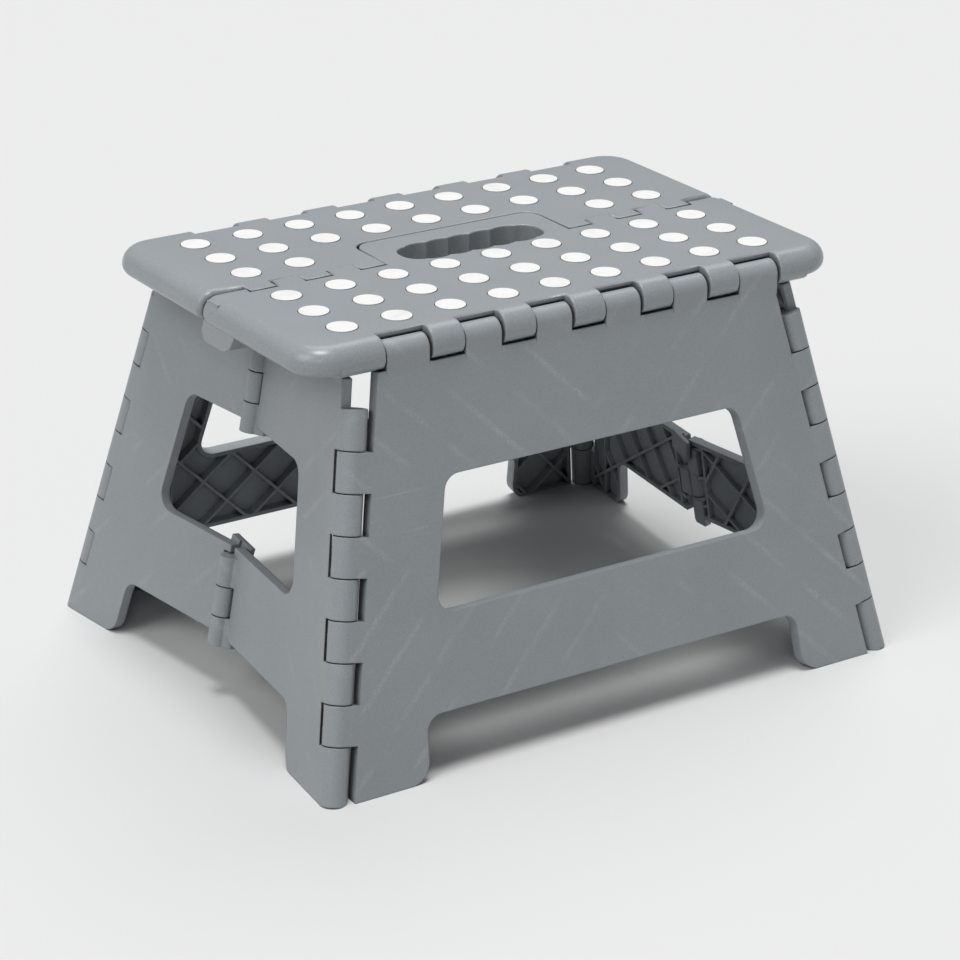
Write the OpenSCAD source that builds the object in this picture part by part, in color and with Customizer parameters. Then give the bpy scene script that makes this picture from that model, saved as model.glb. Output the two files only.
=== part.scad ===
// Folding step stool, open, standing on the floor. Millimetres, Z up.
// Origin: on the floor under the middle of the top. X runs along the long edge,
// -Y is the side of the front leg.
// The two hinge lines of each corner and the middle fold line of each end meet in
// one point high above the top, so the stool can fold like a flattened pyramid.

/* [Size] */
// Height of the standing surface
stool_h = 220; // [180:1:300]
// Length of the top
top_l = 324; // [260:1:400]
// Width of the top
top_w = 204; // [160:1:260]
// Corner radius of the top seen from above
top_corner_r = 20; // [14:1:36]
// Lean of the legs from upright, in degrees
splay = 12.13; // [8:0.01:16]
// Corner hinge lines at the level of the top, from the ends of the top
corner_top_in = 36; // [30:0.5:44]
// Lean of the corner hinge lines toward the middle, per unit of height
corner_lean = 0.2; // [0.1:0.005:0.3]
// Middle fold line of an end at the floor, inside the corner hinge lines
mid_in = 6.6; // [5:0.1:9]

/* [Top] */
// Depth of the rim
skirt_h = 15; // [12:0.5:20]
// Rounding of the rim above its widest line
rim_top_r = 9; // [6:0.5:10]
// Plate thickness of the top
top_skin = 3; // [2:0.1:5]
// Wall thickness under the rim
rim_wall = 9; // [6:0.5:12]
// Rear edge of the front fingers, behind the middle
seam_front = 3.5; // [2:0.1:5]
// Front edge of the rear fingers, before the middle
seam_rear = 5.5; // [3:0.1:7]
// Gap between the halves
seam_gap = 0.8; // [0.4:0.1:1.5]
// Half length of the handle tongue
tongue_x = 56; // [48:0.5:64]
// Reach of the handle tongue into the rear half
tongue_y = 31; // [24:0.5:36]
// Corner radius of the handle tongue
tongue_r = 9; // [4:0.5:12]
// Width of the last band at each end of the seam
finger_end = 25; // [20:0.5:30]
// Half length of the hand slot
slot_x = 43; // [36:0.5:46]
// Front edge of the hand slot, before the middle
slot_front = 7.5; // [4:0.5:12]
// Rear edge of the hand slot, behind the middle
slot_rear = 17; // [12:0.5:22]
// Depth of the finger dents in the rear edge of the slot
dent_depth = 2.5; // [1:0.5:4]
// Depth of the handle walls
handle_depth = 14; // [10:0.5:16]
// Rib thickness under the top
top_rib = 2; // [1.4:0.1:3]
// Half width of the solid strip along the seam
web_y = 12; // [10:0.5:16]

/* [Dots] */
// Outermost dots, from the ends of the top
dot_side = 36.8; // [30:0.1:44]
// Diameter of a grip dot
dot_d = 15.4; // [10:0.1:18]
// Distance of the first row from the seam
dot_row_a = 20.5; // [16:0.1:26]
// Outermost row of dots, from the long edges of the top
dot_edge = 27.5; // [22:0.5:32]
// Depth of the dot recess
dot_recess = 1.2; // [0.8:0.1:2]
// Stand of a dot above the surface
dot_proud = 0.3; // [0:0.1:0.8]
// Gap around a dot
dot_gap = 0.35; // [0.2:0.05:0.6]

/* [Hinges] */
// Pin radius
pin_r = 2; // [1.5:0.1:2.5]
// Running clearance of a pin in its bore
pin_clear = 0.06; // [0.02:0.01:0.1]
// Height of the outer top pins below the standing surface
edge_pin_drop = 9.5; // [7:0.1:12]
// Outer top pins, from the long edges of the top
edge_pin_in = 7.5; // [7:0.1:9]
// Outer face of a leg outside the outer top pin at the pin's height
leg_stand = 4.657; // [3:0.001:6]
// Height of the centre pins below the standing surface
centre_pin_drop = 19.6; // [16:0.1:22]
// Radius of the centre knuckles
centre_knuckle_r = 5.3; // [4.5:0.1:6]
// Radius of the leg knuckles in the rim
edge_knuckle_r = 6.7; // [6:0.1:8]
// Radius of the rim blocks between the leg knuckles
edge_block_r = 7.5; // [6.5:0.1:8.5]
// Middles of the outermost leg knuckles, from the ends of the top
edge_inset = 57; // [50:0.5:64]
// Width of a leg knuckle
edge_knuckle_w = 21; // [16:0.1:24]
// Shift of the leg knuckles to the right
edge_shift = 3; // [0:0.1:5]
// Extra room at the right of a leg knuckle
edge_play = 1.4; // [0:0.1:3]
// Extra width of the two end knuckles
edge_end_extra = 3.4; // [0:0.1:5]
// Radius of the corner knuckles
corner_r = 7; // [6:0.1:8]
// Top of the corner knuckles below the standing surface
corner_top_drop = 31.8; // [26:0.1:38]
// Height of the lowest corner knuckle
corner_foot_h = 29; // [22:0.1:34]
// Gap beside a corner knuckle
corner_slit = 1.7; // [1:0.1:2.5]
// Radius of the knuckles in the middle of an end
mid_knuckle_r = 5.5; // [5:0.1:6.5]
// Stand of the middle fold line off the corner hinge plane
mid_off = 9; // [8:0.1:10]
// Height of one middle knuckle
mid_pitch = 16.2; // [12:0.1:18]
// Bottom of the lower middle knuckles
mid_low_z = 28; // [20:0.5:34]
// Bottom of the upper middle knuckles below the standing surface
mid_high_drop = 77.5; // [70:0.5:84]
// Reach of the notches round the lower middle knuckles
mid_low_notch = 7.4; // [7:0.1:11]
// Reach of the notches round the upper middle knuckles
mid_high_notch = 6.6; // [6.2:0.1:8]
// Gap between knuckles along a pin
knuckle_gap = 0.6; // [0.4:0.05:1]
// Run of an outer top pin past the last leg knuckle
edge_end_run = 14; // [8:0.5:18]
// Run of a centre pin into the handle tongue
tongue_pin_run = 8; // [6:0.5:10]
// Rim left outside a centre pin
rim_pin_wall = 6; // [4:0.5:8]
// Stand of a corner pin above the floor
corner_pin_low = 6; // [4:0.5:10]
// Cover over the top end of a corner pin
corner_cover = 5; // [3:0.5:8]
// Gap at the end of a pin
pin_end_gap = 1; // [0.5:0.1:1.5]
// Depth of the solid end of a bore, with the gap at the pin
blind_wall = 2; // [1.6:0.1:3]

/* [Panels] */
// Thickness of a leg over its ribs
leg_t = 7; // [6:0.1:7]
// Thickness of an end panel over its ribs
end_t = 5.4; // [5:0.1:6.5]
// Plate thickness of the panels
panel_skin = 2.4; // [1.8:0.1:3.5]
// Width of the border of a panel
border_w = 2.6; // [2:0.1:4]
// Rib width
rib_w = 1.8; // [1.2:0.1:2.6]
// Width of the ladder of ribs beside the middle edge of an end panel
ladder_w = 12; // [9:0.5:16]
// Spacing of its rungs
rung_step = 17; // [12:0.5:24]
// Rib spacing
rib_pitch = 23; // [18:0.5:32]
// Top edge of the legs below the standing surface
leg_top_drop = 16.3; // [14:0.1:20]
// Top edge of the end panels below the standing surface
end_top_drop = 18.5; // [17:0.5:24]
// Bottom of the windows, above the floor
window_low_z = 81; // [70:0.5:95]
// Top of the windows below the standing surface
window_drop = 72.5; // [60:0.5:80]
// Lower corners of a leg window, inside the corner hinge lines at the floor
leg_window_in = 66.5; // [50:0.5:80]
// Narrowing of a leg window per unit of height
leg_window_lean = 0.213; // [0.1:0.001:0.3]
// Corner radius of the windows
window_r = 9; // [4:0.5:14]
// Height of the arch between the feet
arch_z = 32.5; // [24:0.5:40]
// Width of a foot of a leg up to the corner hinge line
leg_foot_w = 52.5; // [40:0.5:70]
// Width of a foot of an end panel
end_foot_w = 42.5; // [30:0.5:50]
// Width of the post beside an end window
end_post_w = 43.5; // [34:0.5:52]
// Width of the post beside an end window on the rear panels
rear_post_w = 49; // [38:0.5:56]
// Narrowing of an arch from the floor to its top
arch_lean = 2; // [0:0.5:6]
// Height of the stop tab of a rear end panel
tab_h = 14; // [8:0.5:18]
// Reach of the stop tab behind the front end panel
tab_reach = 8; // [5:0.5:10]
// Thickness of the stop tab
tab_t = 2.4; // [1.6:0.1:3]
// Gap between the stop tab and the front end panel
tab_gap = 0.5; // [0.3:0.1:1]
// Corner radius of the arches
arch_r = 9; // [4:0.5:14]
// Corner radius of the feet
foot_r = 12; // [6:0.5:16]

/* [Hidden] */
$fn = 48;
arc_steps = 6;
over = 5;
// Ribs and webs reach this far into what they meet
sink = top_skin / 3;

// Lengths and places that follow from the sizes of the top
half_l = top_l / 2;
half_w = top_w / 2;
edge_pin_y = half_w - edge_pin_in;
edge_pin_z = stool_h - edge_pin_drop;
centre_pin_z = stool_h - centre_pin_drop;
foot_y = edge_pin_y + leg_stand + edge_pin_z * tan(splay);
corner_x = half_l - corner_top_in + corner_lean * stool_h;
mid_x = corner_x - mid_in;
finger_w = (half_l - tongue_x - finger_end) / 5;
dot_pitch = (half_l - dot_side) / 4;
dot_row_step = (half_w - dot_edge - dot_row_a) / 2;
edge_pitch = (top_l - 2 * edge_inset) / 5;
corner_top_z = stool_h - corner_top_drop;
corner_pitch = (corner_top_z - corner_foot_h) / 8;
mid_high_z = stool_h - mid_high_drop;
leg_top_z = stool_h - leg_top_drop;
end_top_z = stool_h - end_top_drop;
window_high_z = stool_h - window_drop;
leg_window_x = corner_x - leg_window_in;
leg_arch_x = corner_x - leg_foot_w;

// Directions of the leg frame and of the corner hinge line
function unit(v) = v / norm(v);
leg_in = [0, cos(splay), -sin(splay)];
leg_up = [0, sin(splay), cos(splay)];
corner_tilt = atan(corner_lean * cos(splay));
corner_dir = sin(corner_tilt) * [1, 0, 0] + cos(corner_tilt) * leg_up;
corner_side = cos(corner_tilt) * [1, 0, 0] - sin(corner_tilt) * leg_up;
corner_foot = [-corner_x, -foot_y, 0] + corner_r * leg_in;
apex_run = -corner_foot[1] / corner_dir[1];
apex = corner_foot + apex_run * corner_dir;
mid_tilt = atan((apex[0] + mid_x) / apex[2]);
mid_foot = [-mid_x, 0, 0];
mid_rel = mid_foot - corner_foot;
mid_along = mid_rel * corner_dir;
mid_flat = mid_rel - mid_along * corner_dir;
mid_reach = norm(mid_flat);
end_turn = atan2(mid_flat * leg_in, mid_flat * corner_side) - asin(mid_off / mid_reach);
mid_run = sqrt(mid_reach * mid_reach - mid_off * mid_off);
mid_slope = mid_run / (apex_run - mid_along);
end_side = cos(end_turn) * corner_side + sin(end_turn) * leg_in;
end_out = cos(end_turn) * leg_in - sin(end_turn) * corner_side;
bore_r = pin_r + pin_clear;
leg_edge = corner_r + corner_slit;

// Reach of the middle fold line from the corner hinge line, at a run along the latter
function mid_reach_at(s) = (apex_run - s) * mid_slope;
// Run along the corner hinge line at which a point of an end panel has a given height
function run_at(u, z) = (z - corner_foot[2] - u * end_side[2] - corner_r * end_out[2]) / corner_dir[2];

function left_of(a, b) = let (d = unit(b - a)) [-d[1], d[0]];
// Outline moved to its left by d
function inset(p, d) = let (n = len(p)) [for (i = [0 : n - 1])
    let (m = left_of(p[(i + n - 1) % n], p[i]), k = left_of(p[i], p[(i + 1) % n]))
    p[i] + d * (m + k) / (1 + m * k)];
// Outline with its corners rounded; each corner is [x, y, radius]
function rounded(c) = let (n = len(c)) [for (i = [0 : n - 1])
    let (a = [c[(i + n - 1) % n][0], c[(i + n - 1) % n][1]], b = [c[i][0], c[i][1]],
         e = [c[(i + 1) % n][0], c[(i + 1) % n][1]], r = c[i][2],
         m = left_of(a, b), k = left_of(b, e), turn = m[0] * k[1] - m[1] * k[0],
         s = turn < 0 ? -1 : 1, o = b + s * r * (m + k) / (1 + m * k),
         a0 = atan2(-s * m[1], -s * m[0]), a1 = atan2(-s * k[1], -s * k[0]),
         da = (a1 - a0) > 180 ? a1 - a0 - 360 : ((a1 - a0) < -180 ? a1 - a0 + 360 : a1 - a0))
    each (r <= 0 ? [b] : [for (j = [0 : arc_steps])
        o + r * [cos(a0 + da * j / arc_steps), sin(a0 + da * j / arc_steps)]])];

// Plate between two depths behind the outer face of a panel frame
module plate(d0, d1) {
    translate([0, d1, 0])
    rotate([90, 0, 0])
    linear_extrude(d1 - d0)
    children();
}
module rim_section(reach) {
    low_r = skirt_h - rim_top_r;
    polygon(concat([[0, -skirt_h]],
        [for (j = [0 : arc_steps]) [reach - low_r + low_r * sin(90 * j / arc_steps),
                                    -rim_top_r - low_r * cos(90 * j / arc_steps)]],
        [for (j = [1 : arc_steps]) [reach - rim_top_r + rim_top_r * cos(90 * j / arc_steps),
                                    -rim_top_r + rim_top_r * sin(90 * j / arc_steps)]],
        [[0, 0]]));
}
module half_turn_z(i) {
    rotate([0, 0, i * 180])
    children();
}
// Full top with its rounded rim
module top_block() {
    cx = half_l - top_corner_r;
    cy = half_w - top_corner_r;
    translate([0, 0, stool_h]) {
        for (sx = [-1, 1], sy = [-1, 1])
            translate([sx * cx, sy * cy, 0])
            rotate_extrude()
            rim_section(top_corner_r);
        for (i = [0, 1])
            half_turn_z(i) {
                translate([-cx, 0, 0])
                rotate([90, 0, 90])
                linear_extrude(2 * cx)
                rim_section(half_w);
                translate([0, cy, 0])
                rotate([90, 0, 0])
                linear_extrude(2 * cy)
                rim_section(half_l);
            }
    }
}
// Plan boxes of the finger bands; odd bands belong to the front half
module finger_bands(first, y0, y1) {
    for (k = [first : 2 : 5], i = [0, 1]) {
        x0 = tongue_x + k * finger_w + seam_gap / 2;
        x1 = k == 5 ? half_l + over : tongue_x + (k + 1) * finger_w - seam_gap / 2;
        translate([i == 0 ? x0 : -x1, y0])
        square([x1 - x0, y1 - y0]);
    }
}
module tongue_plan(grow) {
    t = tongue_x + grow;
    polygon(rounded([[-t, -seam_rear - 2 * over, 0], [t, -seam_rear - 2 * over, 0],
                     [t, tongue_y + grow, tongue_r], [-t, tongue_y + grow, tongue_r]]));
}
slot_r = 0.44 * (slot_front + slot_rear - dent_depth);
dents = 5;
module slot_plan(grow) {
    step = 2 * (slot_x - slot_r) / dents;
    rear = slot_rear - dent_depth;
    polygon(rounded([[-slot_x - grow, -slot_front - grow, slot_r], [slot_x + grow, -slot_front - grow, slot_r],
                     [slot_x + grow, rear + grow, slot_r], [-slot_x - grow, rear + grow, slot_r]]));
    for (i = [0 : dents - 1])
        translate([(i - (dents - 1) / 2) * step, rear - step + dent_depth + grow])
        circle(step);
}
module under_box(x0, x1, y0, y1, depth) {
    translate([x0, y0, stool_h - skirt_h - over])
    cube([x1 - x0, y1 - y0, skirt_h + over - depth]);
}
hollow_x = half_l - rim_wall;
hollow_y = edge_pin_y - edge_knuckle_r - 1.4 * top_skin;
// Ribs under one half, running away from the seam
module under_ribs(y_in) {
    rib_step = dot_pitch / 2;
    translate([0, 0, stool_h - skirt_h]) {
        for (i = [-9 : 9])
            translate([i * rib_step - top_rib / 2, -hollow_y - sink, 0])
            cube([top_rib, hollow_y + 2 * sink - (abs(i * rib_step) < tongue_x ? y_in : web_y),
                  skirt_h - top_skin / 2]);
        for (y = [dot_row_a + dot_row_step / 2, dot_row_a + 3 * dot_row_step / 2])
            translate([-hollow_x - sink, -y - top_rib / 2, 0])
            cube([2 * hollow_x + 2 * sink, top_rib, skirt_h - top_skin / 2]);
    }
}
// Blocks of the rim round the edge pin, between the leg knuckles
module rim_blocks() {
    w = half_l - top_corner_r;
    translate([-w, -edge_pin_y, edge_pin_z])
    rotate([0, 90, 0])
    cylinder(r = edge_block_r, h = 2 * w);
}
function edge_at(i) = edge_shift + (i - 2.5) * edge_pitch;
function edge_lo(i) = edge_at(i) - edge_knuckle_w / 2 - (i == 0 ? edge_end_extra : 0);
function edge_hi(i) = edge_at(i) + edge_knuckle_w / 2 + (i == 5 ? edge_end_extra : 0);
// Room for one leg knuckle and the swing of its neck; the pocket's mouth in shares of the room
pocket_share = 0.5;
module edge_pocket(i) {
    x0 = edge_lo(i) - knuckle_gap;
    w = edge_hi(i) - edge_lo(i) + 2 * knuckle_gap + edge_play;
    room = edge_knuckle_r + knuckle_gap;
    far = half_w - edge_pin_y + over;
    translate([x0, -edge_pin_y, edge_pin_z]) {
        rotate([0, 90, 0])
        cylinder(r = room, h = w);
        translate([0, -far, -skirt_h])
        cube([w, far, 2 * skirt_h]);
        translate([0, -far, -skirt_h])
        cube([w, far + room, skirt_h]);
        translate([0, -far, edge_knuckle_r * 0.7])
        cube([w, far + room * pocket_share, skirt_h]);
    }
}
module edge_bore(r, short) {
    run = edge_end_run - short;
    translate([edge_lo(0) - run, -edge_pin_y, edge_pin_z])
    rotate([0, 90, 0])
    cylinder(r = r, h = edge_hi(5) - edge_lo(0) + 2 * run);
}
// Half of the top before its seam is cut: hollow, ribbed, with pockets for the leg
module half_shell(y_in, inner_columns) {
    difference() {
        union() {
            difference() {
                union() {
                    top_block();
                    rim_blocks();
                }
                under_box(-hollow_x, hollow_x, -hollow_y, -y_in, top_skin);
                for (s = [-1, 1])
                    under_box(s > 0 ? tongue_x + top_skin : -hollow_x, s > 0 ? hollow_x : -tongue_x - top_skin,
                              -y_in - sink, -web_y, top_skin);
            }
            under_ribs(y_in);
        }
        for (i = [0 : 5])
            edge_pocket(i);
        edge_bore(bore_r, 0);
        dot_recesses(0, inner_columns);
        for (row = [1, 2])
            dot_recesses(row, all_columns);
    }
}
all_columns = [-4 : 4];
end_columns = [-4, -3, 3, 4];
module dot_row(row, columns, r, z0, z1) {
    for (c = columns)
        translate([c * dot_pitch, -dot_row_a - row * dot_row_step, z0])
        cylinder(r = r, h = z1 - z0);
}
module dot_recesses(row, columns) {
    dot_row(row, columns, dot_d / 2 + dot_gap, stool_h - dot_recess, stool_h + over);
}
module dots(row, columns) {
    color([0.95, 0.95, 0.94])
    dot_row(row, columns, dot_d / 2, stool_h - dot_recess, stool_h + dot_proud);
}
// Knuckle of the seam round the centre pin, in one band
module seam_knuckle(x0, x1, reach) {
    translate([x0, 0, centre_pin_z]) {
        rotate([0, 90, 0])
        cylinder(r = centre_knuckle_r, h = x1 - x0);
        translate([0, -web_y, 0])
        cube([x1 - x0, web_y + reach, centre_pin_drop - top_skin / 2]);
    }
}
module seam_knuckles(first, reach) {
    for (k = [first : 2 : 5], i = [0, 1]) {
        x0 = tongue_x + k * finger_w + seam_gap / 2;
        x1 = k == 5 ? half_l - rim_top_r / 4 : tongue_x + (k + 1) * finger_w - seam_gap / 2;
        seam_knuckle(i == 0 ? x0 : -x1, i == 0 ? x1 : -x0, reach);
    }
}
pin_inner_x = tongue_x - tongue_pin_run;
pin_outer_x = half_l - rim_pin_wall;
module centre_bore(r, grow) {
    for (s = [-1, 1])
        translate([s > 0 ? pin_inner_x - grow : -pin_outer_x - grow, 0, centre_pin_z])
        rotate([0, 90, 0])
        cylinder(r = r, h = pin_outer_x - pin_inner_x + 2 * grow);
}
// Rounded end lobe that hangs below the rim at the seam, in shares of the knuckle radius
lobe_shares = [[-5.3, 1], [-4.4, -0.3], [-3.4, -0.85], [-2.6, -0.97], [0, -0.97], [0, 2.4], [-5.3, 2.4]];
module end_lobe(s) {
    r = centre_knuckle_r;
    x0 = tongue_x + 5 * finger_w + seam_gap / 2;
    x1 = half_l - rim_top_r / 4;
    translate([s > 0 ? x0 : -x1, 0, centre_pin_z])
    rotate([90, 0, 90])
    linear_extrude(x1 - x0)
    polygon([for (p = lobe_shares) r * p]);
}
module front_top() {
    color([0.49, 0.52, 0.54])
    difference() {
        union() {
            intersection() {
                half_shell(web_y, all_columns);
                translate([0, 0, centre_pin_z - 2 * over])
                linear_extrude(2 * stool_h)
                union() {
                    translate([-top_l, -top_w])
                    square([2 * top_l, top_w - seam_rear]);
                    finger_bands(1, -seam_rear - sink, seam_front);
                }
            }
            seam_knuckles(1, seam_front);
            for (s = [-1, 1])
                end_lobe(s);
            translate([0, 0, stool_h - handle_depth])
            linear_extrude(handle_depth)
            difference() {
                tongue_plan(0);
                translate([-tongue_x, -top_w])
                square([2 * tongue_x, top_w - web_y]);
            }
            for (s = [-1, 1])
                translate([s > 0 ? pin_inner_x - blind_wall : -tongue_x, 0, 0])
                seam_knuckle(0, tongue_pin_run + blind_wall, centre_knuckle_r);
        }
        translate([0, 0, stool_h - skirt_h - over])
        linear_extrude(skirt_h + 2 * over)
        slot_plan(0);
        translate([0, 0, stool_h - skirt_h - over])
        linear_extrude(skirt_h + over - top_skin)
        difference() {
            translate([-tongue_x + 2 * top_rib, slot_rear + 2 * top_rib])
            square([2 * tongue_x - 4 * top_rib, tongue_y - slot_rear - 3 * top_rib]);
            for (i = [-3 : 3])
                translate([i * dot_pitch / 2 - top_rib / 2, 0])
                square([top_rib, tongue_y]);
        }
        centre_bore(bore_r, pin_end_gap);
    }
}
module rear_top() {
    color([0.49, 0.52, 0.54])
    difference() {
        union() {
            intersection() {
                mirror([0, 1, 0])
                half_shell(tongue_y + 2 * top_skin, end_columns);
                translate([0, 0, centre_pin_z - 2 * over])
                linear_extrude(2 * stool_h)
                union() {
                    translate([-top_l, seam_front + seam_gap])
                    square([2 * top_l, top_w]);
                    finger_bands(0, -seam_rear + seam_gap, seam_front + seam_gap + sink);
                }
            }
            mirror([0, 1, 0])
            seam_knuckles(0, seam_rear - seam_gap);
        }
        translate([0, 0, centre_pin_z - 2 * over])
        linear_extrude(2 * stool_h)
        tongue_plan(seam_gap);
        for (k = [1, 3, 5], i = [0, 1])
            seam_room(k, i);
        centre_bore(bore_r, pin_end_gap);
    }
}
// Room in one half for a knuckle of the other
module seam_room(k, i) {
    x0 = tongue_x + k * finger_w - seam_gap / 2;
    x1 = k == 5 ? half_l + over : tongue_x + (k + 1) * finger_w + seam_gap / 2;
    translate([i == 0 ? x0 : -x1, 0, centre_pin_z])
    rotate([0, 90, 0])
    cylinder(r = centre_knuckle_r + seam_gap, h = x1 - x0);
}
// Frames: leg, corner hinge line, end panel, middle fold line (front left ones)
module leg_frame() {
    translate([0, -foot_y, 0])
    rotate([-splay, 0, 0])
    children();
}
module corner_frame() {
    translate(corner_foot)
    rotate([-splay, 0, 0])
    rotate([0, corner_tilt, 0])
    children();
}
module end_frame() {
    corner_frame()
    rotate([0, 0, end_turn])
    children();
}
module mid_frame() {
    translate(mid_foot)
    rotate([0, mid_tilt, 0])
    children();
}
module floor_cut() {
    translate([-top_l, -top_l, -4 * over])
    cube([2 * top_l, 2 * top_l, 4 * over]);
}
// Corner knuckles: 0, 2, 4, 6, 8 counted from the foot are the end panel's
function corner_z(k) = k == 0 ? 0 : corner_foot_h + (k - 1) * corner_pitch;
module corner_cylinder(k, r, grow) {
    z0 = corner_z(k) + knuckle_gap / 2 - grow;
    z1 = corner_z(k + 1) - knuckle_gap / 2 + grow;
    translate([0, 0, z0 / corner_dir[2]])
    cylinder(r = r, h = (z1 - z0) / corner_dir[2]);
}
module corner_bore(r, z0, z1) {
    corner_frame()
    translate([0, 0, z0 / corner_dir[2]])
    cylinder(r = r, h = (z1 - z0) / corner_dir[2]);
}
corner_pin_high = corner_top_z - corner_cover;

// Outline of a leg in its own plane
function leg_x(z) = corner_x - corner_lean * z - leg_edge;
function leg_pt(x, z, r) = [x, z / cos(splay), r];
leg_outline = rounded([leg_pt(-leg_x(0), 0, 0), leg_pt(-leg_arch_x, 0, foot_r),
    leg_pt(-leg_arch_x + arch_lean, arch_z, arch_r), leg_pt(leg_arch_x - arch_lean, arch_z, arch_r),
    leg_pt(leg_arch_x, 0, foot_r), leg_pt(leg_x(0), 0, 0),
    leg_pt(leg_x(leg_top_z), leg_top_z, 0), leg_pt(-leg_x(leg_top_z), leg_top_z, 0)]);
function win_x(z) = leg_window_x - leg_window_lean * (z - window_low_z);
leg_window = rounded([leg_pt(-win_x(window_low_z), window_low_z, window_r),
    leg_pt(win_x(window_low_z), window_low_z, window_r), leg_pt(win_x(window_high_z), window_high_z, window_r),
    leg_pt(-win_x(window_high_z), window_high_z, window_r)]);
module lattice(w, h) {
    n = ceil((w + h) / rib_pitch);
    for (i = [-n : n], s = [-1, 1])
        translate([i * rib_pitch * sqrt(2), 0])
        rotate([0, 0, 45 * s])
        square([rib_w, 3 * h], center = true);
}
module hole_walls(inner, border) {
    difference() {
        polygon(inset(inner, -border));
        polygon(inner);
    }
}
// Neck and knuckle of a leg in one pocket of the rim; the neck in shares of the knuckle radius
neck_shares = [[-1, 0], [-1, -1.2], [-1.02, -1.6], [-0.05, -1.6], [0.05, -1.2], [0.35, -0.93], [0.35, 0]];
module edge_knuckle(i) {
    r = edge_knuckle_r;
    translate([edge_lo(i), -edge_pin_y, edge_pin_z]) {
        rotate([0, 90, 0])
        cylinder(r = r, h = edge_hi(i) - edge_lo(i));
        rotate([90, 0, 90])
        linear_extrude(edge_hi(i) - edge_lo(i))
        polygon(r * neck_shares);
    }
}
module leg_shape() {
    difference() {
        union() {
            leg_frame() {
                plate(0, panel_skin)
                difference() {
                    polygon(leg_outline);
                    polygon(leg_window);
                }
                plate(panel_skin / 2, leg_t) {
                    difference() {
                        polygon(leg_outline);
                        polygon(inset(leg_outline, border_w));
                    }
                    hole_walls(leg_window, border_w);
                    intersection() {
                        difference() {
                            polygon(leg_outline);
                            polygon(leg_window);
                        }
                        union() {
                            lattice(top_l, leg_top_z);
                            for (s = [-1, 1])
                                translate([s * leg_arch_x, leg_top_z / 2])
                                square([rib_w, leg_top_z], center = true);
                        }
                    }
                }
            }
            for (i = [0 : 5])
                edge_knuckle(i);
            for (m = [0, 1], k = [1 : 2 : 7])
                mirror([m, 0, 0])
                corner_frame() {
                    corner_cylinder(k, corner_r, 0);
                    leg_web(k);
                }
        }
        edge_bore(bore_r, 0);
        for (m = [0, 1])
            mirror([m, 0, 0])
            corner_bore(bore_r, -over, corner_top_z);
        floor_cut();
    }
}
module leg_web(k) {
    z0 = corner_z(k) + knuckle_gap / 2;
    z1 = corner_z(k + 1) - knuckle_gap / 2;
    translate([0, -corner_r, z0 / corner_dir[2]])
    cube([leg_edge + border_w, leg_t, (z1 - z0) / corner_dir[2]]);
}
module end_web(k) {
    z0 = corner_z(k) + (k == 0 ? 0 : knuckle_gap / 2);
    z1 = corner_z(k + 1) - knuckle_gap / 2;
    translate([0, corner_r - end_t, z0 / corner_dir[2]])
    cube([leg_edge + border_w, end_t, (z1 - z0) / corner_dir[2]]);
}
module front_leg() {
    color([0.45, 0.48, 0.5])
    leg_shape();
}
module rear_leg() {
    color([0.45, 0.48, 0.5])
    mirror([0, 1, 0])
    leg_shape();
}

// Outline of an end panel in its own plane: u from the corner, s along the corner line
function end_pt(u, z, r) = [u, run_at(u, z), r];
function mid_u(z) = let (s = run_at(mid_run, z)) mid_reach_at(s) - mid_edge_gap;
function mid_pt(z, r) = end_pt(mid_u(z), z, r);
mid_edge_gap = 1;
mid_top_z = mid_high_z + 3 * mid_pitch + mid_edge_gap;
// The outline starts a little below the floor, and the floor trims it
foot_trim = rib_w / 6;
function end_outline(post) = rounded([end_pt(0, -foot_trim, 0), end_pt(end_foot_w, -foot_trim, foot_r),
    end_pt(end_foot_w, arch_z, arch_r),
    mid_pt(arch_z, 0), mid_pt(window_low_z, 0), end_pt(post, window_low_z, window_r),
    end_pt(post, window_high_z, window_r), mid_pt(window_high_z, 0), mid_pt(mid_top_z, 0),
    end_pt(mid_reach_at(end_top_z) - mid_reach / 8, mid_top_z, 0),
    end_pt(mid_reach_at(end_top_z) - mid_reach / 6, end_top_z, 0), end_pt(0, end_top_z, 0)]);
// Strip beside the middle edge of an end panel, between two distances from it
function ladder_strip(d0, d1) = [for (p = [[d1, 0], [d0, 0], [d0, mid_top_z], [d1, mid_top_z]])
    [mid_u(p[1]) - p[0], run_at(mid_u(p[1]), p[1])]];
module ladder_rungs() {
    for (z = [mid_low_z + rung_step / 2 : rung_step : mid_top_z])
        translate([mid_u(z) - ladder_w, run_at(mid_run, z)])
        square([ladder_w, rib_w]);
}
module end_plate(d0, d1) {
    translate([0, corner_r - d0, 0])
    rotate([90, 0, 0])
    linear_extrude(d1 - d0)
    children();
}
// Middle knuckles counted from below: 0, 1, 2 low group, 3, 4, 5 high group
function mid_z(k) = k < 3 ? mid_low_z + k * mid_pitch : mid_high_z + (k - 3) * mid_pitch;
module mid_cylinder(k, r, grow) {
    z0 = mid_z(k) + knuckle_gap / 2 - grow;
    translate([0, 0, z0 / cos(mid_tilt)])
    cylinder(r = r, h = (mid_pitch - knuckle_gap + 2 * grow) / cos(mid_tilt));
}
module mid_bore(r) {
    mid_frame()
    for (z = [mid_low_z, mid_high_z])
        translate([0, 0, (z + blind_wall) / cos(mid_tilt)])
        cylinder(r = r, h = (3 * mid_pitch - 2 * blind_wall) / cos(mid_tilt));
}
// Notch round a knuckle of the other end panel
module mid_notch(k) {
    n = k < 3 ? mid_low_notch : mid_high_notch;
    mid_frame()
    translate([-3 * mid_knuckle_r, -n, (mid_z(k) - knuckle_gap / 2) / cos(mid_tilt)])
    cube([6 * mid_knuckle_r, 2 * n, (mid_pitch + knuckle_gap) / cos(mid_tilt)]);
}
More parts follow.
